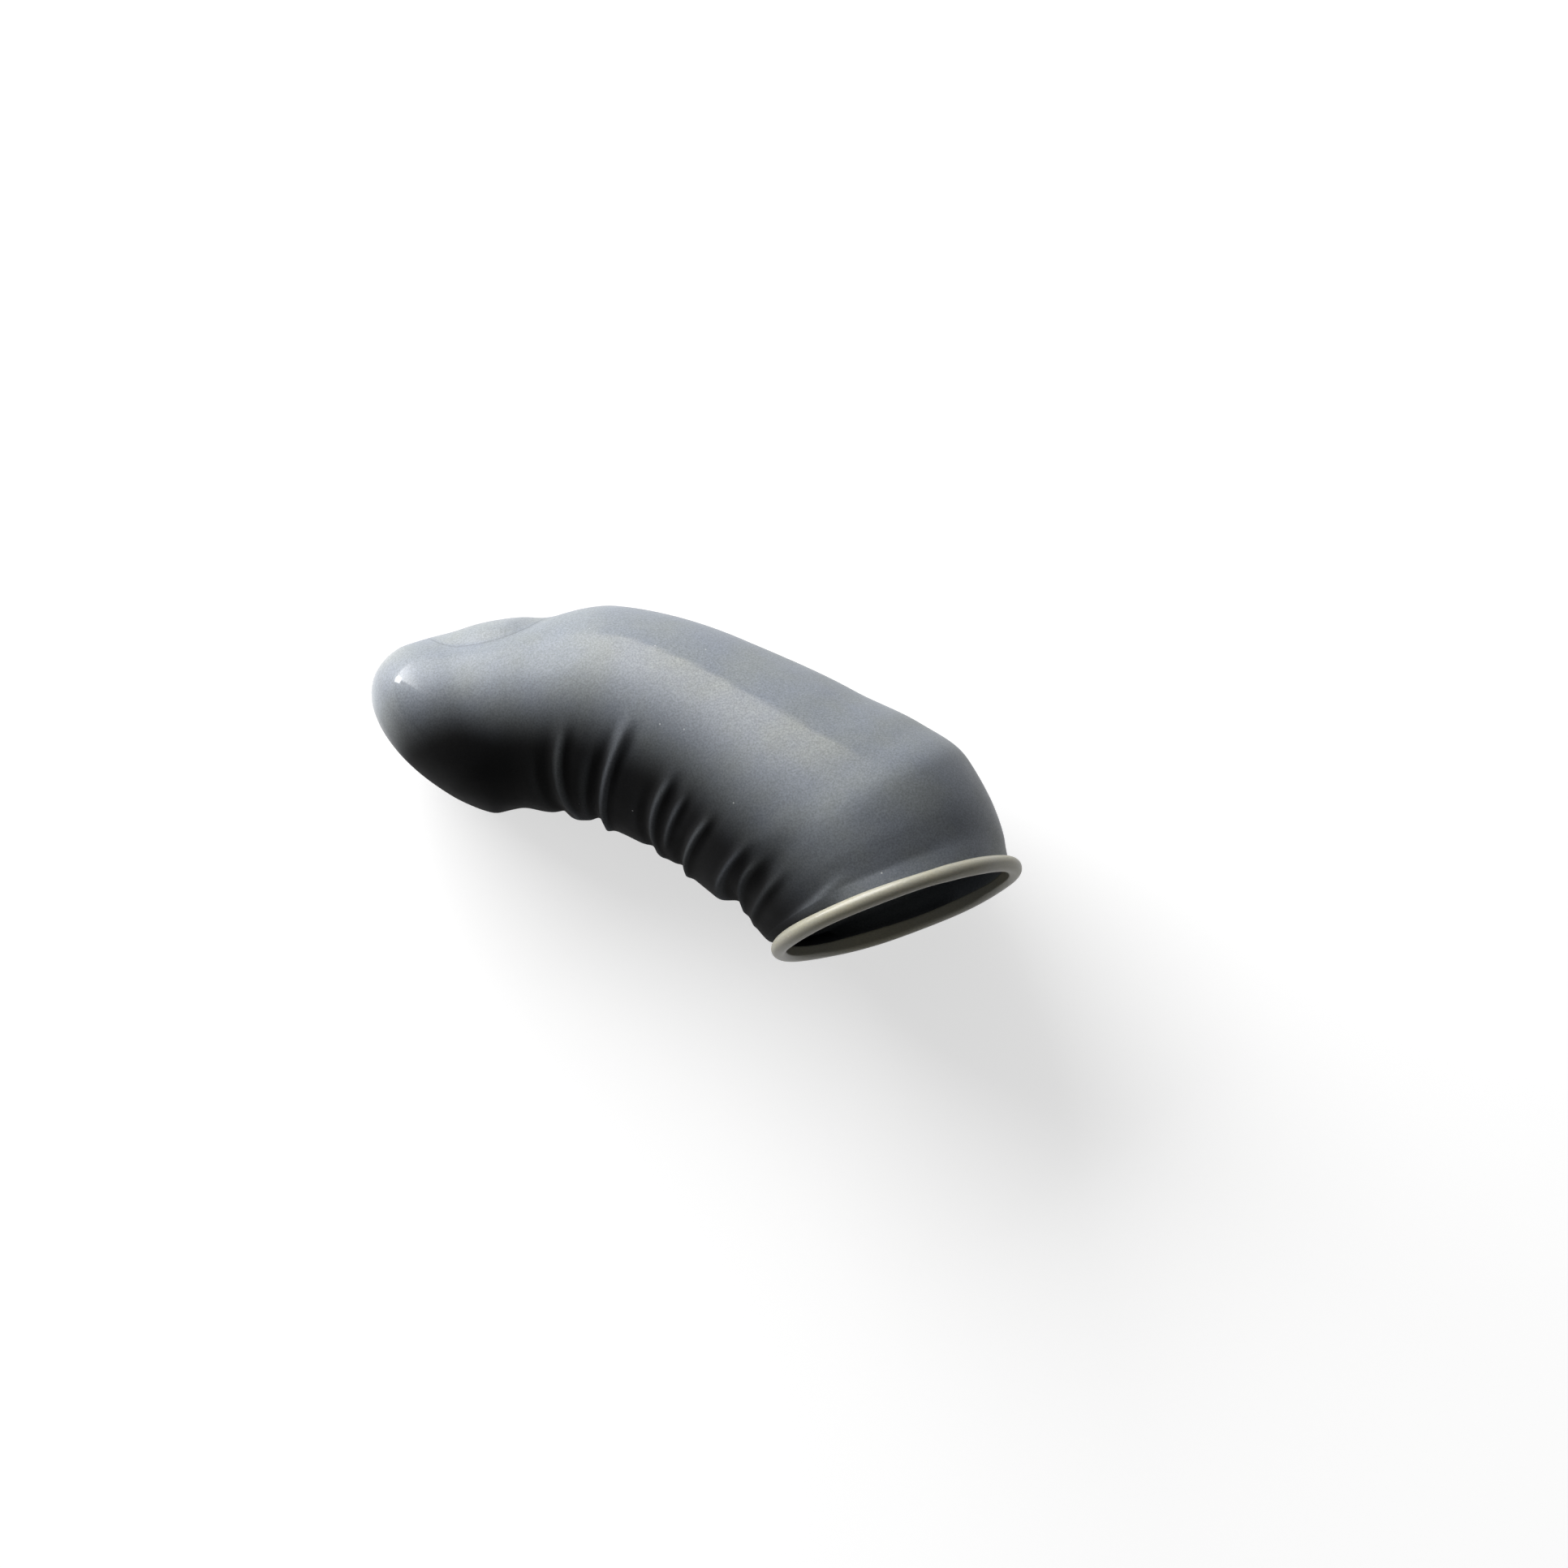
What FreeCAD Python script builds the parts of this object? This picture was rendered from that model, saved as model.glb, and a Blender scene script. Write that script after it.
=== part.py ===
import FreeCAD, Part
from collections import namedtuple
import math
import os

# Finger cot: a thin rubber sheath for one finger, dip-moulded in one piece with a rolled rim.
# It keeps the bent shape of the finger that fills it, lies on its side and opens towards -Y.
# The origin is the centre of the rim's ring. The finger bends about an axis parallel to +Z,
# which stands on the -X side of the mouth, so the back of the finger faces +X and then +Y.
# Lengths are in millimetres, turns about the bend axis in degrees, and angles round a section
# in degrees from the middle of the back to the middle of the palm side at 180.

os.makedirs("parts", exist_ok=True)
doc = FreeCAD.newDocument("finger_cot_model")

# Sizes of the bend, the mouth with its rolled rim, the film and the rounded end. The collar is
# the straight stretch of film at the rim. It ends film_end before the middle of the roll, which
# lies bead_offset outside the film's own middle. The plate is the fingernail under the film.
GENERAL_SIZES = {
    "bend_radius": 30.0,
    "mouth_radius": 9.7,
    "film_wall": 0.3,
    "film_end": 0.5,
    "collar_length": 0.8,
    "bead_thickness": 1.4,
    "bead_offset": 0.35,
    "dome_turn": 14.3,
    "dome_lift": 2.6,
    "plate_turn": 80.6,
    "plate_half_turn": 8.7,
    "plate_half_angle": 43.5,
    "plate_rise": 0.25,
    "plate_groove": 0.35,
}

# Stations along the finger, from the rim to where the rounded end starts. Each has its turn from
# the station before, how much deeper it is than the collar from back to palm side and how much
# wider from side to side, less than 0 where it is slimmer, and the drop of its middle inside the
# circle of the bend radius.
STATIONS = {
    "flare": (4.5, 1.45, 0.6, 0.2),
    "root": (4.4, 2.05, 1.0, 0.2),
    "knuckle": (5.1, 2.3, 1.2, 0.25),
    "neck": (6.5, 2.15, 0.8, 1.5),
    "shank": (8.5, 0.45, 0.2, 2.6),
    "middle": (16.0, -1.15, -1.2, 3.2),
    "joint": (17.5, -2.0, -2.6, 2.9),
    "nail": (11.5, -3.95, -3.8, 3.15),
    "pad": (6.0, -4.5, -4.4, 2.85),
    "tip": (6.0, -4.7, -5.0, 2.95),
}

# Folds of the slack film on the palm side, the same on both sides of the finger. Each is a narrow
# crest with a hollow on its fingertip side. It has the turn of its crest where the fold starts,
# halfway round and at the palm, the angles where it starts and ends, its height, the hollow's
# depth and its width. A fold that ends at 180 meets its other half at the palm.
Fold = namedtuple("Fold", "upper halfway palm start end height hollow width")
FOLDS = {
    "tip_fold": Fold(84.8, 92.3, 94.0, 122, 162, 0.16, 0.06, 0.60),
    "pad_fold": Fold(67.0, 69.1, 64.6, 104, 180, 0.30, 0.45, 0.56),
    "joint_fold": Fold(54.7, 58.0, 56.6, 98, 180, 0.45, 0.60, 0.46),
    "shank_fold": Fold(42.8, 44.2, 39.5, 114, 180, 0.34, 0.36, 0.46),
    "short_fold": Fold(38.6, 39.2, 37.0, 119, 158, 0.27, 0.10, 0.38),
    "middle_fold": Fold(31.3, 32.2, 30.6, 123, 180, 0.36, 0.36, 0.42),
    "slight_fold": Fold(21.6, 20.8, 19.0, 124, 156, 0.26, 0.08, 0.40),
    "root_fold": Fold(17.0, 16.2, 13.0, 128, 180, 0.30, 0.60, 0.44),
    "flare_fold": Fold(12.4, 10.4, 8.8, 126, 170, 0.26, 0.10, 0.42),
    "rim_fold": Fold(5.6, 2.4, 2.3, 102, 172, 0.34, 0.05, 0.38),
    "seam_fold": Fold(3.7, 2.0, 2.0, 99, 136, 0.20, 0.03, 0.28),
}

# Each fold's hollow and the groove on its rim side, as shares of its width: how far their middles
# lie from the crest, and how wide they are. The groove's depth is a share of the crest's height.
HOLLOW_AWAY = 1.5
HOLLOW_WIDTH = 1.2
GROOVE_AWAY = 1.6
GROOVE_WIDTH = 0.8
GROOVE_SHARE = 0.35

# Angle over which a crest rises from its ends, and the longer ones over which a hollow deepens
# from the fold's start and a groove dies out towards the palm
CREST_FADE = 12.0
HOLLOW_FADE = 50.0
GROOVE_FADE = 50.0

# Turn from the collar over which the folds reach their full height
COLLAR_FADE = 1.2

# Width of the groove round the plate, as a share of the plate
PLATE_GROOVE_WIDTH = 0.15

# Turn from one section to the next where there are folds, and past the last of them
FOLDED_STEP = 0.6
PLAIN_STEP = 1.2
LAST_FOLDED_TURN = 72.0

# Angles that share out the rounded end, and the power that makes it blunter than an ellipse.
# The last angle before the pole lies level with the pole.
DOME_ANGLES = (0, 5, 10, 15, 21, 28, 36, 45, 54, 63, 72, 79, 85)
DOME_POWER = 0.93

# Poles round each section, and how far outside the section they stand to hold it at its size
POLES_ROUND = 60
POLE_REACH = 3 / (2 + math.cos(2 * math.pi / POLES_ROUND))

UP = FreeCAD.Vector(0, 0, 1)
ACROSS = FreeCAD.Vector(1, 0, 0)

# What a section measures: back and palm radius from the bend axis, half its width from side to
# side, and the height of its middle
Outline = namedtuple("Outline", "turn back palm half_width height")

# A section as drawn: its place along the finger, its middle, its reach to back and side, and
# whether folds and plate stand on it
Section = namedtuple("Section", "place middle to_back to_side shaped")


def fill_sheet():
    """Put every driving size into one cell of the sheet, under its own name."""
    sizes = dict(GENERAL_SIZES)
    for name, (step, deeper, wider, drop) in STATIONS.items():
        sizes[name + "_step"] = step
        sizes[name + "_deeper"] = deeper
        sizes[name + "_wider"] = wider
        sizes[name + "_drop"] = drop
    for name, fold in FOLDS.items():
        for part, value in zip(Fold._fields, fold):
            sizes[name + "_" + part] = value
    filled = doc.addObject("Spreadsheet::Sheet", "sizes")
    for row, (name, value) in enumerate(sizes.items(), start=1):
        filled.set(f"A{row}", name)
        filled.set(f"B{row}", str(value))
        filled.setAlias(f"B{row}", name)
    doc.recompute()
    return filled


sheet = fill_sheet()
folds = [Fold(*(sheet.get(name + "_" + part) for part in Fold._fields)) for name in FOLDS]

# Outer radius of the film's collar, which the stations' depths and widths are told from
collar_radius = sheet.mouth_radius + sheet.film_wall

# Radius of the whole rim: lying down, the rim and the underside of the finger are level
rim_radius = sheet.mouth_radius + sheet.film_wall / 2 + sheet.bead_offset + sheet.bead_thickness / 2


def station_outline(name, turn, inset):
    """The section at a station, less an inset all round."""
    middle = sheet.bend_radius - sheet.get(name + "_drop")
    half_depth = collar_radius + sheet.get(name + "_deeper") / 2
    half_width = collar_radius + sheet.get(name + "_wider") / 2
    back = middle + half_depth - inset
    palm = middle - half_depth + inset
    return Outline(turn, back, palm, half_width - inset, half_width - rim_radius)


def place_along(distance):
    """The turn at which the bend circle is a distance away from the plane of the mouth."""
    return math.degrees(math.asin(distance / sheet.bend_radius))


collar_turn = place_along(sheet.collar_length)


def finger_outlines(inset):
    """The outlines at the end of the collar and at every station."""
    radius = collar_radius - inset
    back = sheet.bend_radius + radius
    palm = sheet.bend_radius - radius
    outlines = [Outline(collar_turn, back, palm, radius, 0.0)]
    turn = 0.0
    for name in STATIONS:
        turn += sheet.get(name + "_step")
        outlines.append(station_outline(name, turn, inset))
    return outlines


def gentle_slopes(places, values):
    """Slopes of a smooth curve that never swings past the values it goes through."""
    steps = [b - a for a, b in zip(places, places[1:])]
    rises = [(b - a) / step for a, b, step in zip(values, values[1:], steps)]
    slopes = [rises[0]]
    for step, next_step, rise, next_rise in zip(steps, steps[1:], rises, rises[1:]):
        if rise * next_rise > 0:
            first_share = 2 * next_step + step
            second_share = next_step + 2 * step
            slopes.append((first_share + second_share) / (first_share / rise + second_share / next_rise))
        else:
            slopes.append(0.0)
    slopes.append(rises[-1])
    return slopes


def outline_at(turn, outlines, slopes):
    """The outline at any turn, on smooth curves through the stations."""
    span = max(number for number, outline in enumerate(outlines[:-1]) if outline.turn <= turn)
    first, second = outlines[span], outlines[span + 1]
    step = second.turn - first.turn
    share = (turn - first.turn) / step
    rest = 1 - share
    values = []
    for a, b, slope_a, slope_b in zip(first, second, slopes[span], slopes[span + 1]):
        ends = a * (1 + 2 * share) * rest ** 2 + b * (3 - 2 * share) * share ** 2
        values.append(ends + step * share * rest * (slope_a * rest - slope_b * share))
    return Outline(*values)._replace(turn=turn)


def draw_section(place, outline, shaped):
    """A section in its radial plane."""
    angle = math.radians(outline.turn)
    outward = FreeCAD.Vector(math.cos(angle), math.sin(angle), 0)
    radius = (outline.back + outline.palm) / 2
    half_depth = (outline.back - outline.palm) / 2
    middle = outward * radius + UP * outline.height - ACROSS * sheet.bend_radius
    return Section(place, middle, outward * half_depth, UP * outline.half_width, shaped)


def collar_sections(start, start_radius, end_radius):
    """Round sections along the collar, square to +Y and evenly spaced."""
    sections = []
    length = sheet.collar_length - start
    for share in (0, 1 / 3, 2 / 3, 1):
        distance = start + length * share
        radius = start_radius + (end_radius - start_radius) * share
        middle = FreeCAD.Vector(0, distance, 0)
        sections.append(Section(place_along(distance), middle, ACROSS * radius, UP * radius, False))
    return sections


def body_sections(outlines):
    """The sections from the collar to the last station, closer together where there are folds."""
    columns = [gentle_slopes([outline.turn for outline in outlines], values) for values in zip(*outlines)]
    slopes = list(zip(*columns))
    sections = []
    end = outlines[-1].turn
    turn = outlines[0].turn + FOLDED_STEP
    while turn < end - FOLDED_STEP:
        sections.append(draw_section(turn, outline_at(turn, outlines, slopes), True))
        turn += FOLDED_STEP if turn < LAST_FOLDED_TURN else PLAIN_STEP
    return sections


def dome_sections(tip, inset):
    """The sections of the rounded end, drawn in over the last station to a point."""
    radius = (tip.back + tip.palm) / 2
    half_depth = (tip.back - tip.palm) / 2
    dome_turn = sheet.dome_turn - math.degrees(inset / radius)
    level = DOME_ANGLES[-1]
    sections = []
    for angle in DOME_ANGLES + (90,):
        rise = math.sin(math.radians(angle)) ** DOME_POWER if angle < level else 1.0
        rest = math.cos(math.radians(angle)) ** DOME_POWER if angle < level else math.radians(90 - angle)
        middle = radius + sheet.dome_lift * rise
        turn = tip.turn + dome_turn * rise
        back = middle + half_depth * rest
        palm = middle - half_depth * rest
        outline = Outline(turn, back, palm, tip.half_width * rest, tip.height)
        place = tip.turn + sheet.dome_turn * math.radians(angle)
        sections.append(draw_section(place, outline, angle < level))
    return sections


def ease(value):
    """A smooth step from 0 to 1."""
    value = max(0.0, min(1.0, value))
    return value * value * (3 - 2 * value)


def bump(away, middle, width):
    """A smooth rise of height 1 round its middle."""
    return math.exp(-((away - middle) / width) ** 2)


def crest_turn(fold, angle):
    """The turn of a fold's crest at an angle round the section, on a curve through its three turns."""
    share = (angle - fold.start) / (180 - fold.start)
    upper = fold.upper * (1 - share) * (1 - 2 * share)
    halfway = fold.halfway * 4 * share * (1 - share)
    return upper + halfway + fold.palm * share * (2 * share - 1)


def fold_relief(fold, turn, angle, radius):
    """How far one fold stands out of the plain film, or in where it is less than 0."""
    if not fold.start < angle < fold.end + CREST_FADE:
        return 0.0
    away = math.radians(turn - crest_turn(fold, angle)) * radius / fold.width
    groove = GROOVE_SHARE * bump(away, -GROOVE_AWAY, GROOVE_WIDTH) * ease((180 - angle) / GROOVE_FADE)
    crest = fold.height * (bump(away, 0, 1) - groove) * ease((angle - fold.start) / CREST_FADE)
    hollow = fold.hollow * bump(away, HOLLOW_AWAY, HOLLOW_WIDTH)
    hollow *= ease((angle - fold.start) / HOLLOW_FADE)
    fade = ease((fold.end + CREST_FADE - angle) / CREST_FADE) if fold.end < 180 else 1.0
    return fade * (crest - hollow)


def plate_relief(turn, angle):
    """The fingernail under the film: a raised plate with a groove along its sides."""
    along = (turn - sheet.plate_turn) / sheet.plate_half_turn
    reach = math.hypot(along, angle / sheet.plate_half_angle)
    rise = sheet.plate_rise * ease((1 - reach) / PLATE_GROOVE_WIDTH)
    side = ease(angle / (sheet.plate_half_angle / 2))
    return rise - sheet.plate_groove * bump(reach, 1, PLATE_GROOVE_WIDTH) * side


def relief(section, angle):
    """All that stands out of the plain film at an angle round a section."""
    reach = section.to_back * math.cos(math.radians(angle))
    from_axis = section.middle + reach + ACROSS * sheet.bend_radius
    radius = math.hypot(from_axis.x, from_axis.y)
    height = sum(fold_relief(fold, section.place, angle, radius) for fold in folds)
    return height * ease((section.place - collar_turn) / COLLAR_FADE) + plate_relief(section.place, angle)


def skin_surface(sections):
    """One smooth surface over the sections: cubic along the finger and round it."""
    poles = []
    for number in range(POLES_ROUND):
        angle = 360 * number / POLES_ROUND
        from_back = math.radians(angle)
        line = []
        for section in sections:
            reach = section.to_back * math.cos(from_back) + section.to_side * math.sin(from_back)
            pole = section.middle + reach * POLE_REACH
            if section.shaped:
                pole += reach.normalize() * relief(section, min(angle, 360 - angle))
            line.append(pole)
        poles.append(line)
    places = [section.place for section in sections]
    inner_knots = [sum(places[number:number + 3]) / 3 for number in range(1, len(places) - 3)]
    long_knots = [places[0]] + inner_knots + [places[-1]]
    long_multiples = [4] + [1] * len(inner_knots) + [4]
    round_knots = list(range(POLES_ROUND + 1))
    round_multiples = [1] * len(round_knots)
    surface = Part.BSplineSurface()
    surface.buildFromPolesMultsKnots(
        poles, round_multiples, long_multiples, round_knots, long_knots, True, False, 3, 3
    )
    return surface


def add_finger(name, collar, inset):
    """A solid inside the skin: flat at its start and closed at the fingertip."""
    outlines = finger_outlines(inset)
    skin = Part.Face(skin_surface(collar + body_sections(outlines) + dome_sections(outlines[-1], inset)))
    start_edge = min(skin.Edges, key=lambda edge: edge.BoundBox.YMax)
    start = Part.Face(Part.Wire([start_edge]))
    start.reverse()
    finger = doc.addObject("Part::Feature", name)
    finger.Shape = Part.Solid(Part.Shell([skin, start]))
    return finger


def add_outer_finger():
    """The film's outer side, with a straight collar of even radius inside the roll."""
    collar = collar_sections(-sheet.film_end, collar_radius, collar_radius)
    return add_finger("outer_finger", collar, 0.0)


def add_inner_finger():
    """The film's inner side, which starts inside the bore and meets its wall at the collar's end."""
    wall = sheet.film_wall
    collar = collar_sections(0.0, sheet.mouth_radius - wall, sheet.mouth_radius)
    return add_finger("inner_finger", collar, wall)


def add_bore():
    """The round hole of the mouth, through the roll and a wall's thickness past the collar."""
    bore = doc.addObject("Part::Cylinder", "bore")
    bore.setExpression("Radius", "sizes.mouth_radius")
    bore.setExpression("Height", "sizes.bead_thickness + sizes.collar_length + sizes.film_wall")
    bore.setExpression("Placement", "placement(vector(0; -sizes.bead_thickness; 0); rotation(0; 0; -90))")
    return bore


def add_bead():
    """The rolled rim: a round ring on the outer side of the film."""
    bead = doc.addObject("Part::Torus", "bead")
    bead.setExpression("Radius1", "sizes.mouth_radius + sizes.film_wall / 2 + sizes.bead_offset")
    bead.setExpression("Radius2", "sizes.bead_thickness / 2")
    bead.setExpression("Placement", "placement(vector(0; 0; 0); rotation(0; 0; 90))")
    return bead


def add_finger_cot():
    """The outer form with its rim, less the bore and then the space that the finger fills."""
    outer = doc.addObject("Part::MultiFuse", "outer_form")
    outer.Shapes = [add_outer_finger(), add_bead()]
    bored = doc.addObject("Part::Cut", "bored_form")
    bored.Base = outer
    bored.Tool = add_bore()
    cot = doc.addObject("Part::Cut", "finger_cot")
    cot.Base = bored
    cot.Tool = add_inner_finger()
    cot.Label = "finger_cot"
    return cot


def check(parts):
    """Stop if any object failed or any part isn't one valid solid."""
    for item in doc.Objects:
        if "Invalid" in item.State or "Error" in item.State:
            raise SystemExit(f"{item.Name} failed: {item.State}")
    for part in parts:
        if part.Shape.isNull() or not part.Shape.isValid():
            raise SystemExit(f"{part.Label} has no valid shape")
        if len(part.Shape.Solids) != 1:
            raise SystemExit(f"{part.Label} has {len(part.Shape.Solids)} solids, not 1")


parts = [add_finger_cot()]
doc.recompute()
check(parts)
for part in parts:
    part.Shape.exportStep(f"parts/{part.Label}.step")
    box = part.Shape.BoundBox
    print(f"{part.Label}: {part.Shape.Volume:.1f} mm3, x {box.XMin:.2f} to {box.XMax:.2f}, "
          f"y {box.YMin:.2f} to {box.YMax:.2f}, z {box.ZMin:.2f} to {box.ZMax:.2f}")
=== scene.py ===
import math

import bmesh
import bpy
from mathutils import Matrix, Vector
from mathutils.bvhtree import BVHTree


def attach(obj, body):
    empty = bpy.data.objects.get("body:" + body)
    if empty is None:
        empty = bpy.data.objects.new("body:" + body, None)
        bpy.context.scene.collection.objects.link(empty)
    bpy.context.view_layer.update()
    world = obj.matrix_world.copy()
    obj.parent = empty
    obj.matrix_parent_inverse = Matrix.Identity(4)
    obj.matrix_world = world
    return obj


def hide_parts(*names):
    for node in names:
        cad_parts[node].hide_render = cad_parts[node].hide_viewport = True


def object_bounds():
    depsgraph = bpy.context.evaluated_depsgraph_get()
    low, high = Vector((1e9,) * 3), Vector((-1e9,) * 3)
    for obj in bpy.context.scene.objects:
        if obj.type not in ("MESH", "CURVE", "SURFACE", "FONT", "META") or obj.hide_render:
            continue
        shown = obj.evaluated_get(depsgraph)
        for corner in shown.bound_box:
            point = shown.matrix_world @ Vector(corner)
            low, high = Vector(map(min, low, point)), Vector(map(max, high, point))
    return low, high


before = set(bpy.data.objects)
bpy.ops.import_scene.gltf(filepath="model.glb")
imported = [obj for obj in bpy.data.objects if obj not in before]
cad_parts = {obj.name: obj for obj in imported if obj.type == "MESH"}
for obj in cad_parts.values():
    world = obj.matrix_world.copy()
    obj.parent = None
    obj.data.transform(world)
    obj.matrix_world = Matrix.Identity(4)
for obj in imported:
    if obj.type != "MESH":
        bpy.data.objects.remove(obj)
cad_low, cad_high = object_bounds()

# Film
# The film is a closed tube of latex rubber, dipped on a former and worn stretched over a bend.
# It is tight on the outer side of the bend and slack on the inner side, where it gathers in folds.
# Turn is in degrees round the bend from the mouth, side in degrees from the outer side.
MM = 0.001
BEND_RADIUS = 30 * MM
BEND_AXIS = Vector((-BEND_RADIUS, 0, 0))
COLLAR_RADIUS = 10 * MM
COLLAR_LENGTH = 0.8 * MM
FILM_WALL = 0.3 * MM
OUTSIDE_REACH = 16 * MM
MIDDLE_SHIFT = 1.5 * MM
FIRST_TURN = 1.9
TIP_TURN = 86.0
TIP_SWEEP = 90.0
SEGMENTS_AROUND = 160
RINGS_ALONG = 215
RINGS_TIP = 36
CENTRING_ROUNDS = 4
SECTION_REACH = 9
RELIEF_REACH = 8

NAIL_TURN = 80.6
NAIL_HALF_TURN = 8.7
NAIL_HALF_ANGLE = 43.5

cot_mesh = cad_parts["finger_cot"].data
cot_skin = BVHTree.FromPolygons(
    [vertex.co.copy() for vertex in cot_mesh.vertices],
    [tuple(face.vertices) for face in cot_mesh.polygons],
)


def directions_at(turn):
    """Outward and onward directions of the bent cot at a turn about the bend axis."""
    angle = math.radians(turn)
    outward = Vector((math.cos(angle), math.sin(angle), 0))
    onward = Vector((-math.sin(angle), math.cos(angle), 0))
    return outward, onward


def skin_point(middle, direction):
    """Where a line from outside towards the middle of the cot meets the film."""
    return cot_skin.ray_cast(middle + direction * OUTSIDE_REACH, -direction)[0]


def section_at(turn):
    """Middle, half depth and half width of the cot in its radial plane."""
    outward, _ = directions_at(turn)
    up = Vector((0, 0, 1))
    middle = BEND_AXIS + outward * (BEND_RADIUS - MIDDLE_SHIFT)
    for _ in range(CENTRING_ROUNDS):
        back = skin_point(middle, outward)
        palm = skin_point(middle, -outward)
        top = skin_point(middle, up)
        bottom = skin_point(middle, -up)
        middle = BEND_AXIS + outward * ((back + palm) / 2 - BEND_AXIS).dot(outward)
        middle.z = (top.z + bottom.z) / 2
    return middle, (back - palm).length / 2, (top.z - bottom.z) / 2


def rise(value, start, end):
    """A smooth step from 0 at the start to 1 at the end, which may lie below the start."""
    share = max(0.0, min(1.0, (value - start) / (end - start)))
    return share * share * (3 - 2 * share)


film = bmesh.new()
turn_layer = film.verts.layers.float.new("turn")
side_layer = film.verts.layers.float.new("side")
thick_and_lit_layer = film.verts.layers.float.new("thick_and_lit")
shine_layer = film.verts.layers.float.new("shine")
relief_layer = film.verts.layers.float.new("relief")
mouth_turn = Matrix.Rotation(math.radians(90), 4, "X")
bmesh.ops.create_circle(film, segments=SEGMENTS_AROUND, radius=COLLAR_RADIUS, matrix=mouth_turn)
along = bmesh.ops.spin(
    film, geom=film.verts[:] + film.edges[:], cent=BEND_AXIS, axis=(0, 0, 1), dvec=(0, 0, 0),
    angle=math.radians(TIP_TURN), steps=RINGS_ALONG, use_merge=False, use_duplicate=False,
)
tip = bmesh.ops.spin(
    film, geom=along["geom_last"], cent=BEND_AXIS, axis=(0, 0, 1), dvec=(0, 0, 0),
    angle=math.radians(TIP_SWEEP), steps=RINGS_TIP, use_merge=False, use_duplicate=False,
)
tip_ring = [item for item in tip["geom_last"] if isinstance(item, bmesh.types.BMVert)]

measured = [
    section_at(max(TIP_TURN * ring / RINGS_ALONG, FIRST_TURN)) for ring in range(RINGS_ALONG + 1)
]
sections = []
for ring in range(RINGS_ALONG + 1):
    near = measured[max(ring - SECTION_REACH, 0):ring + SECTION_REACH + 1]
    sections.append([
        sum((values[number] for values in near), 0 * near[0][number]) / len(near)
        for number in range(3)
    ])

# The closed end is paler on its upper side, partly for its thicker latex and partly as painted
# light.
TIP_PALE_TILT = (50, 66)
TIP_SHINE_TILT = (25, 41)
TIP_UPPER_SIDE = (118, 92)

reaches = {}
rings = {}
for vertex in film.verts:
    from_axis = vertex.co - BEND_AXIS
    place = round(math.degrees(math.atan2(from_axis.y, from_axis.x)) % 360, 3)
    if place > 359:
        place = 0.0
    turn = min(place, TIP_TURN)
    tilt = math.radians(place - turn)
    ring = round(turn / TIP_TURN * RINGS_ALONG)
    middle, half_depth, half_width = sections[ring]
    outward, onward = directions_at(turn)
    around = math.atan2(vertex.co.z, math.hypot(from_axis.x, from_axis.y) - BEND_RADIUS)
    rim_height = BEND_RADIUS * math.sin(math.radians(turn))
    if rim_height < COLLAR_LENGTH:
        spot = Vector((math.cos(around), 0, math.sin(around))) * COLLAR_RADIUS
        spot.y = rim_height
    else:
        across = outward * math.cos(around) * half_depth
        across += Vector((0, 0, math.sin(around) * half_width))
        heading = across.normalized() * math.cos(tilt) + onward * math.sin(tilt)
        spot = skin_point(middle, heading.normalized())
    vertex.co = spot
    from_axis = spot - BEND_AXIS
    vertex[turn_layer] = max(math.degrees(math.atan2(from_axis.y, from_axis.x)), 0.0)
    vertex[side_layer] = math.degrees((spot - middle).angle(outward))
    above_palm = rise(vertex[side_layer], *TIP_UPPER_SIDE)
    vertex[thick_and_lit_layer] = rise(math.degrees(tilt), *TIP_PALE_TILT) * above_palm
    vertex[shine_layer] = rise(math.degrees(tilt), *TIP_SHINE_TILT) * above_palm
    if tilt == 0:
        segment = round(math.degrees(around) / 360 * SEGMENTS_AROUND) % SEGMENTS_AROUND
        reaches[ring, segment] = (spot - middle).length
        rings[vertex] = (ring, segment)

for vertex, (ring, segment) in rings.items():
    near = range(max(ring - RELIEF_REACH, 0), min(ring + RELIEF_REACH, RINGS_ALONG) + 1)
    plain = sum(reaches[other, segment] for other in near) / len(near)
    vertex[relief_layer] = (reaches[ring, segment] - plain) / MM

pole = skin_point(sections[RINGS_ALONG][0], directions_at(TIP_TURN)[1])
bmesh.ops.pointmerge(film, verts=tip_ring, merge_co=pole)

EVENING_ROUNDS = 2
NAIL_ROOT = {"turn": 72.2, "half_turn": 4.3, "side": 34, "rounds": 30}
NAIL_FRONT = {"turn": 87, "half_turn": 5, "side": 75, "rounds": 16}
ZONE_SHRINK = 0.7


def even_out(verts):
    """Even the film at some of its points by one round."""
    bmesh.ops.smooth_vert(
        film, verts=verts, factor=0.5, use_axis_x=True, use_axis_y=True, use_axis_z=True
    )


past_collar = [vertex for vertex in film.verts if vertex.co.y > 2 * COLLAR_LENGTH]
for _ in range(EVENING_ROUNDS):
    even_out(past_collar)
for zone in (NAIL_ROOT, NAIL_FRONT):
    for done in range(zone["rounds"]):
        share = 1 - ZONE_SHRINK * done / zone["rounds"]
        even_out([
            vertex for vertex in past_collar
            if abs(vertex[turn_layer] - zone["turn"]) < zone["half_turn"] * share
            and vertex[side_layer] < zone["side"] * share
        ])
bmesh.ops.recalc_face_normals(film, faces=film.faces)

film_mesh = bpy.data.meshes.new("film")
film.to_mesh(film_mesh)
film.free()
film_mesh.shade_smooth()

# Painted shade: the palm side of the film is darkened, starting further from the outer side towards
# the mouth and nearer to it towards the closed end.
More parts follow.
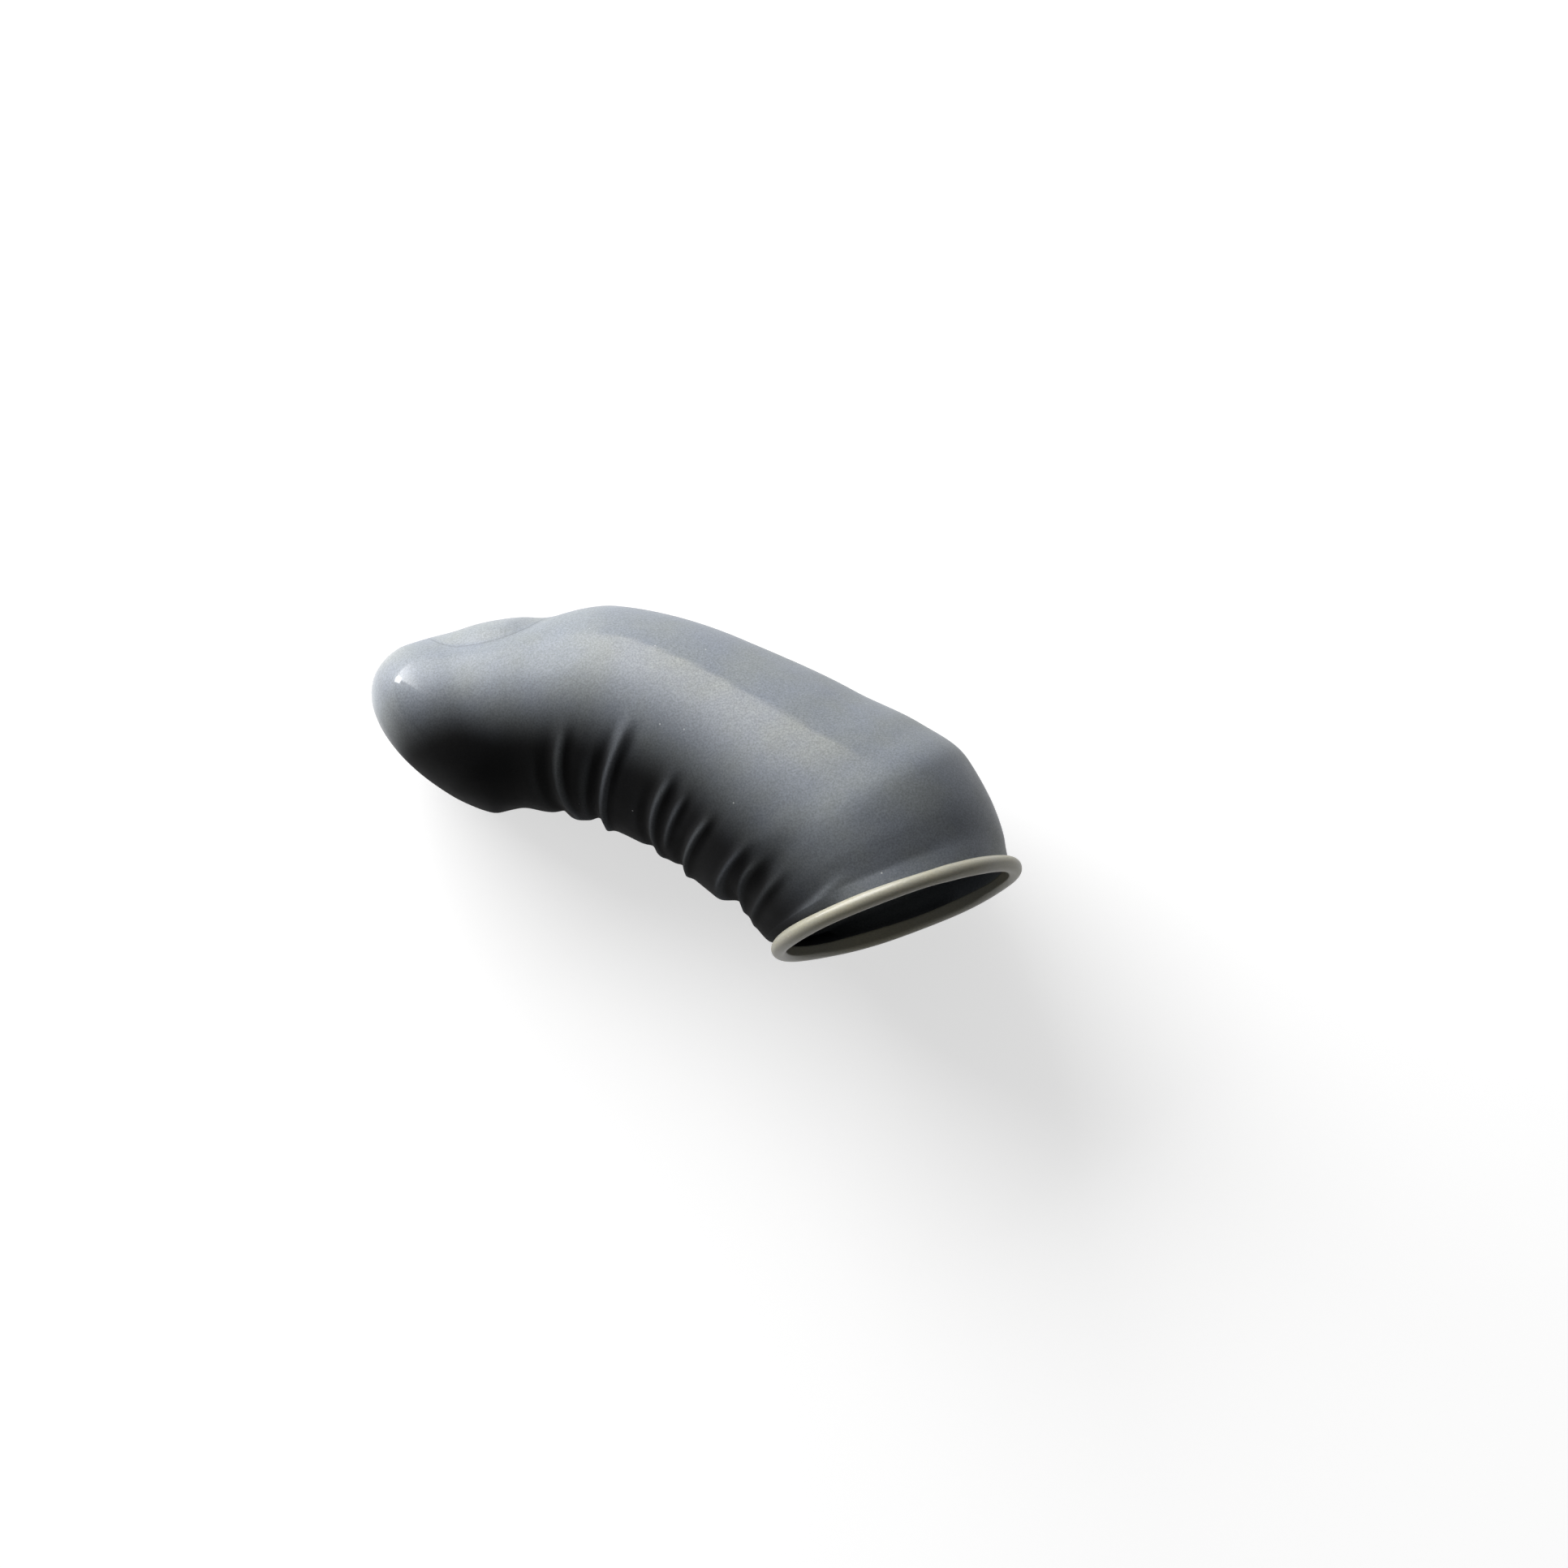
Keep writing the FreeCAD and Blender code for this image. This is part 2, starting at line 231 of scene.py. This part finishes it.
PALM_SIDE = 74
PALM_WIDTH = 54
PALM_LATER_AT_RIM = 22
PALM_EARLIER_AT_JOINT = 6
PALM_EARLIER_AT_TIP = 13
# Painted reflection: a pale band along the film, a reflection of the big soft lamp, with a sharp
# edge on the outer side and a soft fade towards the palm.
BAND_SIDE = 50
BAND_LOWER_AT_RIM = 12
BAND_EDGE = 2
BAND_FULL = 5
BAND_FADE = 40
BAND_FROM_RIM = (14, 30)
BAND_TO_TIP = (70, 56)
# Painted shade: the film darkens towards the mouth, away from the outer side.
NEAR_RIM_TURN = (18, 3)
NEAR_RIM_SIDE = (5, 50)
# Painted light on the crests of the folds on the palm side.
CREST_RELIEF = (0, 0.24)
CREST_SIDE = (90, 102)
CREST_AT_RIM = 0.4
# Painted shade in the hollows between the folds.
HOLLOW_RELIEF = (0, -0.22)
HOLLOW_SIDE = (52, 66)

shade_values = {"palm_shade": [], "reflection_band": [], "near_rim_shade": [], "crest": [], "hollow": []}
for turn_value, side_value, relief_value in zip(
    film_mesh.attributes["turn"].data,
    film_mesh.attributes["side"].data,
    film_mesh.attributes["relief"].data,
):
    turn, side, relief = turn_value.value, side_value.value, relief_value.value
    palm_start = PALM_SIDE + PALM_LATER_AT_RIM * rise(turn, 50, 0)
    palm_start -= PALM_EARLIER_AT_JOINT * rise(turn, 54, 68)
    palm_start -= PALM_EARLIER_AT_TIP * rise(turn, 80, 90)
    shade_values["palm_shade"].append(rise(side, palm_start, palm_start + PALM_WIDTH))
    band_top = BAND_SIDE + BAND_LOWER_AT_RIM * rise(turn, 68, 33)
    band_full = band_top + BAND_FULL
    band = rise(side, band_top, band_top + BAND_EDGE) * rise(side, band_full + BAND_FADE, band_full)
    band *= rise(turn, *BAND_FROM_RIM) * rise(turn, *BAND_TO_TIP)
    shade_values["reflection_band"].append(band)
    shade_values["near_rim_shade"].append(rise(turn, *NEAR_RIM_TURN) * rise(side, *NEAR_RIM_SIDE))
    crest = rise(relief, *CREST_RELIEF) * rise(side, *CREST_SIDE)
    shade_values["crest"].append(crest * (CREST_AT_RIM + (1 - CREST_AT_RIM) * rise(turn, 8, 20)))
    shade_values["hollow"].append(rise(relief, *HOLLOW_RELIEF) * rise(side, *HOLLOW_SIDE))
for name, values in shade_values.items():
    attribute = film_mesh.attributes.new(name, "FLOAT", "POINT")
    attribute.data.foreach_set("value", values)


def new_material(name):
    """An empty node material and its node tree."""
    material = bpy.data.materials.new(name)
    material.use_nodes = True
    tree = material.node_tree
    tree.nodes.clear()
    return material, tree


def add_node(tree, kind, settings=None, **inputs):
    """A node with its settings and its unlinked inputs set."""
    node = tree.nodes.new(kind)
    for key, value in (settings or {}).items():
        setattr(node, key, value)
    for key, value in inputs.items():
        node.inputs[key.replace("_", " ")].default_value = value
    return node


def mix_colours(tree, first, second, factor):
    """The colour between two colours, each a socket or a plain colour."""
    node = add_node(tree, "ShaderNodeMix", {"data_type": "RGBA"})
    for number, value in ((0, factor), (6, first), (7, second)):
        if isinstance(value, bpy.types.NodeSocket):
            tree.links.new(value, node.inputs[number])
        else:
            node.inputs[number].default_value = value
    return node.outputs[2]


def scaled(tree, socket, factor):
    """A value times a factor."""
    node = add_node(tree, "ShaderNodeMath", {"operation": "MULTIPLY"})
    tree.links.new(socket, node.inputs[0])
    node.inputs[1].default_value = factor
    return node.outputs[0]


def attribute_of(tree, name):
    """A value that the mesh carries at each of its points."""
    return add_node(tree, "ShaderNodeAttribute", {"attribute_name": name}).outputs["Fac"]


SPECK_COLOUR = (0.75, 0.76, 0.74, 1)
SPECK_SHARE = 0.35
GRAIN_HEIGHT = 0.05


def latex_group():
    """Clouding, fine grain, pale specks and surface waves of dipped latex."""
    group = bpy.data.node_groups.new("dipped_latex", "ShaderNodeTree")
    for name, direction, kind in (
        ("Colour", "INPUT", "NodeSocketColor"), ("Cool", "INPUT", "NodeSocketColor"),
        ("Warm", "INPUT", "NodeSocketColor"), ("Grain", "INPUT", "NodeSocketFloat"),
        ("Colour", "OUTPUT", "NodeSocketColor"), ("Height", "OUTPUT", "NodeSocketFloat"),
        ("Cloud", "OUTPUT", "NodeSocketFloat"),
    ):
        group.interface.new_socket(name, in_out=direction, socket_type=kind)
    taken = group.nodes.new("NodeGroupInput")
    given = group.nodes.new("NodeGroupOutput")
    place = group.nodes.new("ShaderNodeTexCoord").outputs["Object"]
    clouds = add_node(group, "ShaderNodeTexNoise", Scale=170.0, Detail=3.0, Roughness=0.55)
    grain = add_node(group, "ShaderNodeTexNoise", Scale=6500.0, Detail=1.0, Roughness=0.6)
    waves = add_node(group, "ShaderNodeTexNoise", Scale=420.0, Detail=2.0, Roughness=0.5)
    specks = add_node(group, "ShaderNodeTexVoronoi", Scale=420.0)
    for texture in (clouds, grain, waves, specks):
        group.links.new(place, texture.inputs["Vector"])

    cloud_range = add_node(group, "ShaderNodeMapRange", From_Min=0.38, From_Max=0.62)
    group.links.new(clouds.outputs["Fac"], cloud_range.inputs["Value"])
    tint = mix_colours(
        group, taken.outputs["Cool"], taken.outputs["Warm"], cloud_range.outputs["Result"]
    )
    tinted = add_node(group, "ShaderNodeMix", {"data_type": "RGBA", "blend_type": "MULTIPLY"})
    tinted.inputs[0].default_value = 1.0
    group.links.new(taken.outputs["Colour"], tinted.inputs[6])
    group.links.new(tint, tinted.inputs[7])

    grain_range = add_node(
        group, "ShaderNodeMapRange", From_Min=0.3, From_Max=0.7, To_Min=-1.0, To_Max=1.0
    )
    group.links.new(grain.outputs["Fac"], grain_range.inputs["Value"])
    grain_share = add_node(group, "ShaderNodeMath", {"operation": "MULTIPLY_ADD"})
    group.links.new(grain_range.outputs["Result"], grain_share.inputs[0])
    group.links.new(taken.outputs["Grain"], grain_share.inputs[1])
    grain_share.inputs[2].default_value = 1.0
    grained = add_node(group, "ShaderNodeVectorMath", {"operation": "SCALE"})
    group.links.new(tinted.outputs[2], grained.inputs[0])
    group.links.new(grain_share.outputs[0], grained.inputs["Scale"])

    speck_mask = add_node(group, "ShaderNodeMapRange", From_Min=0.035, From_Max=0.025)
    group.links.new(specks.outputs["Distance"], speck_mask.inputs["Value"])
    speck_share = scaled(group, speck_mask.outputs["Result"], SPECK_SHARE)
    specked = mix_colours(group, grained.outputs["Vector"], SPECK_COLOUR, speck_share)

    height = add_node(group, "ShaderNodeMath", {"operation": "MULTIPLY_ADD"})
    group.links.new(grain.outputs["Fac"], height.inputs[0])
    height.inputs[1].default_value = GRAIN_HEIGHT
    group.links.new(waves.outputs["Fac"], height.inputs[2])
    group.links.new(specked, given.inputs["Colour"])
    group.links.new(height.outputs[0], given.inputs["Height"])
    group.links.new(cloud_range.outputs["Result"], given.inputs["Cloud"])
    return group


LATEX = latex_group()
LATEX_WAVES = 0.04 * MM
SMOOTHER = 0.04
ROUGHER = 0.05


def latex_shader(tree, colour, grain, cool, warm, roughness):
    """The shader that both latex finishes share, fed by the group."""
    latex = add_node(tree, "ShaderNodeGroup", {"node_tree": LATEX})
    if isinstance(colour, bpy.types.NodeSocket):
        tree.links.new(colour, latex.inputs["Colour"])
    else:
        latex.inputs["Colour"].default_value = colour
    latex.inputs["Grain"].default_value = grain
    latex.inputs["Cool"].default_value = cool
    latex.inputs["Warm"].default_value = warm
    relief = add_node(tree, "ShaderNodeBump", Strength=1.0, Distance=LATEX_WAVES)
    tree.links.new(latex.outputs["Height"], relief.inputs["Height"])
    rough = add_node(
        tree, "ShaderNodeMapRange", To_Min=roughness - SMOOTHER, To_Max=roughness + ROUGHER
    )
    tree.links.new(latex.outputs["Cloud"], rough.inputs["Value"])
    shader = add_node(tree, "ShaderNodeBsdfPrincipled")
    tree.links.new(latex.outputs["Colour"], shader.inputs["Base Color"])
    tree.links.new(rough.outputs["Result"], shader.inputs["Roughness"])
    tree.links.new(relief.outputs["Normal"], shader.inputs["Normal"])
    output = add_node(tree, "ShaderNodeOutputMaterial")
    tree.links.new(shader.outputs["BSDF"], output.inputs["Surface"])
    return shader


FILM_GREY = (0.228, 0.247, 0.265, 1)
FILM_COOL = (0.97, 0.985, 1.04, 1)
FILM_WARM = (1.015, 1.015, 0.985, 1)
FILM_GRAIN = 0.17
FILM_ROUGHNESS = 0.46
PALM_ROUGHER = 0.4
REFLECTION_BAND_GREY = (0.315, 0.328, 0.330, 1)
NEAR_RIM_SHADE_GREY = (0.078, 0.084, 0.090, 1)
NAIL_GREY = (0.262, 0.278, 0.280, 1)
NAIL_EDGE = (1.0, 0.93)
CREASE_SHADE_GREY = (0.09, 0.094, 0.098, 1)
CREASE_REACH = 1.02
CREASE_HALF_WIDTH = 0.014
TIP_PALE_AND_LIT_GREY = (0.40, 0.435, 0.455, 1)
PALM_SHADE_GREY = (0.007, 0.007, 0.0075, 1)
CREST_LIGHT_GREY = (0.085, 0.091, 0.097, 1)
HOLLOW_SHADE_GREY = (0.006, 0.006, 0.0065, 1)
film_material, film_tree = new_material("stretched_latex")

nail_along = add_node(
    film_tree, "ShaderNodeMapRange", {"clamp": False},
    From_Min=NAIL_TURN, From_Max=NAIL_TURN + NAIL_HALF_TURN,
)
nail_across = add_node(
    film_tree, "ShaderNodeMapRange", {"clamp": False}, From_Max=NAIL_HALF_ANGLE
)
film_tree.links.new(attribute_of(film_tree, "turn"), nail_along.inputs["Value"])
film_tree.links.new(attribute_of(film_tree, "side"), nail_across.inputs["Value"])
nail_place = add_node(film_tree, "ShaderNodeCombineXYZ")
film_tree.links.new(nail_along.outputs["Result"], nail_place.inputs["X"])
film_tree.links.new(nail_across.outputs["Result"], nail_place.inputs["Y"])
nail_reach = add_node(film_tree, "ShaderNodeVectorMath", {"operation": "LENGTH"})
film_tree.links.new(nail_place.outputs["Vector"], nail_reach.inputs[0])
on_nail = add_node(
    film_tree, "ShaderNodeMapRange", From_Min=NAIL_EDGE[0], From_Max=NAIL_EDGE[1]
)
film_tree.links.new(nail_reach.outputs["Value"], on_nail.inputs["Value"])
# Painted shade: a thin dark line in the crease along the front edge of the nail.
crease_shade_line = add_node(film_tree, "ShaderNodeMath", {"operation": "COMPARE"})
film_tree.links.new(nail_reach.outputs["Value"], crease_shade_line.inputs[0])
crease_shade_line.inputs[1].default_value = CREASE_REACH
crease_shade_line.inputs[2].default_value = CREASE_HALF_WIDTH

palm_shade_mask = attribute_of(film_tree, "palm_shade")
film_colour = FILM_GREY
# The greys go on in turn: a painted reflection band, painted shade towards the mouth, the paler
# nail, painted shade in the nail's crease, the paler closed end that is partly painted light,
# painted shade on the palm side, painted light on the fold crests and painted shade in the fold
# hollows.
for grey, mask, strength in (
    (REFLECTION_BAND_GREY, attribute_of(film_tree, "reflection_band"), 1.0),
    (NEAR_RIM_SHADE_GREY, attribute_of(film_tree, "near_rim_shade"), 0.65),
    (NAIL_GREY, on_nail.outputs["Result"], 0.8),
    (CREASE_SHADE_GREY, crease_shade_line.outputs[0], 0.3),
    (TIP_PALE_AND_LIT_GREY, attribute_of(film_tree, "thick_and_lit"), 0.8),
    (PALM_SHADE_GREY, palm_shade_mask, 1.0),
    (CREST_LIGHT_GREY, attribute_of(film_tree, "crest"), 0.7),
    (HOLLOW_SHADE_GREY, attribute_of(film_tree, "hollow"), 0.6),
):
    film_colour = mix_colours(film_tree, film_colour, grey, scaled(film_tree, mask, strength))
film_shader = latex_shader(
    film_tree, film_colour, FILM_GRAIN, FILM_COOL, FILM_WARM, FILM_ROUGHNESS
)
film_rough = add_node(film_tree, "ShaderNodeMath", {"operation": "MULTIPLY_ADD"})
film_tree.links.new(palm_shade_mask, film_rough.inputs[0])
film_rough.inputs[1].default_value = PALM_ROUGHER
film_tree.links.new(film_shader.inputs["Roughness"].links[0].from_socket, film_rough.inputs[2])
film_tree.links.new(film_rough.outputs[0], film_shader.inputs["Roughness"])
film_shader.inputs["IOR"].default_value = 1.4
film_shader.inputs["Specular IOR Level"].default_value = 0.25
film_shader.inputs["Coat Roughness"].default_value = 0.1
film_shine = add_node(film_tree, "ShaderNodeMapRange", To_Min=0.03, To_Max=0.8)
film_tree.links.new(attribute_of(film_tree, "shine"), film_shine.inputs["Value"])
film_dull = add_node(film_tree, "ShaderNodeMapRange", To_Min=1.0, To_Max=0.0)
film_tree.links.new(palm_shade_mask, film_dull.inputs["Value"])
film_coat = add_node(film_tree, "ShaderNodeMath", {"operation": "MULTIPLY"})
film_tree.links.new(film_shine.outputs["Result"], film_coat.inputs[0])
film_tree.links.new(film_dull.outputs["Result"], film_coat.inputs[1])
film_tree.links.new(film_coat.outputs[0], film_shader.inputs["Coat Weight"])

film_piece = bpy.data.objects.new("cot_film", film_mesh)
bpy.context.scene.collection.objects.link(film_piece)
film_mesh.materials.append(film_material)
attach(film_piece, "root")
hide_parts("finger_cot")
wall = film_piece.modifiers.new("wall", "SOLIDIFY")
wall.thickness = FILM_WALL
wall.offset = -1.0

# Rolled rim
# The film's own edge, rolled up on itself while it was made, is left as a ring at the mouth.
# It is thick enough to show the ivory colour of the latex, and its turns make it a little uneven.
ROLL_RADIUS = 0.7 * MM
ROLL_MIDDLE = 10.2 * MM
MOUTH_RADIUS = 9.67 * MM
ROLL_SEGMENTS = 36
ROLL_STEPS = 200
SWELLS = ((3, 0.7, 0.035), (7, 2.1, 0.03))
LUMP_HEADING = 62
LUMP_HALF_ANGLE = 5
LUMP_SWELL = 0.045
FULLEST = 1.06
SLIMMER = 0.97
SWAY = 0.05 * MM

roll = bmesh.new()
bmesh.ops.create_circle(
    roll, segments=ROLL_SEGMENTS, radius=ROLL_RADIUS, matrix=Matrix.Translation((ROLL_MIDDLE, 0, 0))
)
bmesh.ops.spin(
    roll, geom=roll.verts[:] + roll.edges[:], cent=(0, 0, 0), axis=(0, 1, 0), dvec=(0, 0, 0),
    angle=math.radians(360), steps=ROLL_STEPS, use_merge=True, use_duplicate=False,
)
for vertex in roll.verts:
    heading = math.atan2(vertex.co.z, vertex.co.x)
    radial = Vector((math.cos(heading), 0, math.sin(heading)))
    core = radial * ROLL_MIDDLE
    fullness = 1 + sum(
        share * math.sin(waves * heading + start) for waves, start, share in SWELLS
    )
    off_lump = (math.degrees(heading) - LUMP_HEADING) / LUMP_HALF_ANGLE
    fullness += LUMP_SWELL * math.exp(-off_lump ** 2)
    vertex.co = core + (vertex.co - core) * min(fullness, FULLEST) * SLIMMER
    vertex.co.y += SWAY * math.sin(2 * heading + 1.0)
    short = MOUTH_RADIUS - vertex.co.dot(radial)
    if short > 0:
        vertex.co += radial * short
bmesh.ops.recalc_face_normals(roll, faces=roll.faces)
roll_mesh = bpy.data.meshes.new("bead")
roll.to_mesh(roll_mesh)
roll.free()
roll_mesh.shade_smooth()

RIM_IVORY = (0.345, 0.335, 0.272, 1)
RIM_COOL = (0.98, 0.98, 1.0, 1)
RIM_WARM = (1.03, 1.01, 0.94, 1)
RIM_GRAIN = 0.07
RIM_ROUGHNESS = 0.42
rim_material, rim_tree = new_material("rolled_latex")
rim_shader = latex_shader(rim_tree, RIM_IVORY, RIM_GRAIN, RIM_COOL, RIM_WARM, RIM_ROUGHNESS)
rim_shader.inputs["Subsurface Weight"].default_value = 0.15
rim_shader.inputs["Subsurface Radius"].default_value = (1.2 * MM, 0.9 * MM, 0.5 * MM)
rim_shader.inputs["Subsurface Scale"].default_value = 1.0
rim_shader.inputs["Coat Weight"].default_value = 0.15
rim_shader.inputs["Coat Roughness"].default_value = 0.2

rim_piece = bpy.data.objects.new("cot_rolled_rim", roll_mesh)
bpy.context.scene.collection.objects.link(rim_piece)
roll_mesh.materials.append(rim_material)
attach(rim_piece, "root")
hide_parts("finger_cot")

# Table
# A plain matt white table that the cot lies on. The camera and reflections see it with a glow
# of its own that makes it white, and it keeps the soft shadow.
TABLE_SIZE = 3.0
TABLE_SEEN = (0.55, 0.55, 0.55, 1)
TABLE_GLOW = 0.62
TABLE_BOUNCE = (0.30, 0.30, 0.30, 1)
table_build = bmesh.new()
bmesh.ops.create_grid(table_build, x_segments=1, y_segments=1, size=TABLE_SIZE / 2)
bmesh.ops.translate(table_build, verts=table_build.verts, vec=(0, 0, cad_low.z))
table_mesh = bpy.data.meshes.new("table")
table_build.to_mesh(table_mesh)
table_build.free()

table_material, table_tree = new_material("white_table")
paths = add_node(table_tree, "ShaderNodeLightPath")
seen = add_node(table_tree, "ShaderNodeMath", {"operation": "MAXIMUM"})
table_tree.links.new(paths.outputs["Is Camera Ray"], seen.inputs[0])
table_tree.links.new(paths.outputs["Is Glossy Ray"], seen.inputs[1])
matt = add_node(table_tree, "ShaderNodeBsdfDiffuse", Color=TABLE_SEEN)
glow = add_node(table_tree, "ShaderNodeEmission", Strength=TABLE_GLOW)
shown = add_node(table_tree, "ShaderNodeAddShader")
table_tree.links.new(matt.outputs[0], shown.inputs[0])
table_tree.links.new(glow.outputs[0], shown.inputs[1])
bounce = add_node(table_tree, "ShaderNodeBsdfDiffuse", Color=TABLE_BOUNCE)
choice = add_node(table_tree, "ShaderNodeMixShader")
table_tree.links.new(seen.outputs[0], choice.inputs[0])
table_tree.links.new(bounce.outputs[0], choice.inputs[1])
table_tree.links.new(shown.outputs[0], choice.inputs[2])
table_output = add_node(table_tree, "ShaderNodeOutputMaterial")
table_tree.links.new(choice.outputs[0], table_output.inputs["Surface"])

table = bpy.data.objects.new("table", table_mesh)
bpy.context.scene.collection.objects.link(table)
table_mesh.materials.append(table_material)

# Camera
# It looks down on the cot from a little to the mouth's side, turned so that the mouth sits low
# on the right, at 15 image points a millimetre.
IMAGE_SIZE = 1932
POINTS_A_METRE = 15000
MOUTH_IN_IMAGE = (1104.5, 1120.5)
CAMERA_TILT = math.radians(10)
CAMERA_ROLL = math.radians(19.4)
CAMERA_DISTANCE = 0.7
level_right = Vector((1, 0, 0))
level_up = Vector((0, math.cos(CAMERA_TILT), math.sin(CAMERA_TILT)))
image_right = level_right * math.cos(CAMERA_ROLL) - level_up * math.sin(CAMERA_ROLL)
image_up = level_right * math.sin(CAMERA_ROLL) + level_up * math.cos(CAMERA_ROLL)
towards_camera = image_right.cross(image_up)
centre_right = (IMAGE_SIZE / 2 - MOUTH_IN_IMAGE[0]) / POINTS_A_METRE
centre_up = (MOUTH_IN_IMAGE[1] - IMAGE_SIZE / 2) / POINTS_A_METRE
camera_data = bpy.data.cameras.new("camera")
camera_data.lens = camera_data.sensor_width * CAMERA_DISTANCE * POINTS_A_METRE / IMAGE_SIZE
camera_data.clip_start = 0.01
camera_data.clip_end = 10
camera = bpy.data.objects.new("camera", camera_data)
bpy.context.scene.collection.objects.link(camera)
camera_spot = image_right * centre_right + image_up * centre_up + towards_camera * CAMERA_DISTANCE
camera_axes = Matrix((image_right, image_up, towards_camera)).transposed().to_4x4()
camera.matrix_world = Matrix.Translation(camera_spot) @ camera_axes
bpy.context.scene.camera = camera

# Light
# A large soft lamp beyond the outer side of the bend, a small one off the closed end that gives
# it its bright spot, and a dim even room.
COT_MIDDLE = (cad_low + cad_high) / 2
ROOM_STRENGTH = 0.16


def add_lamp(name, right, up, height, size, power):
    """A square lamp that faces the middle of the cot, placed in the camera's directions."""
    data = bpy.data.lights.new(name, "AREA")
    data.size = size
    data.energy = power
    lamp = bpy.data.objects.new(name, data)
    bpy.context.scene.collection.objects.link(lamp)
    spot = COT_MIDDLE + image_right * right + image_up * up
    spot.z = COT_MIDDLE.z + height
    facing = (spot - COT_MIDDLE).to_track_quat("Z", "Y").to_matrix().to_4x4()
    lamp.matrix_world = Matrix.Translation(spot) @ facing


add_lamp("key_lamp", right=-0.36, up=0.50, height=0.20, size=0.60, power=10.5)
add_lamp("tip_lamp", right=-0.45, up=0.24, height=0.03, size=0.07, power=0.5)
world = bpy.data.worlds.new("room")
world.use_nodes = True
background = world.node_tree.nodes["Background"]
background.inputs["Color"].default_value = (1, 1, 1, 1)
background.inputs["Strength"].default_value = ROOM_STRENGTH
bpy.context.scene.world = world
bpy.context.scene.view_settings.view_transform = "Standard"
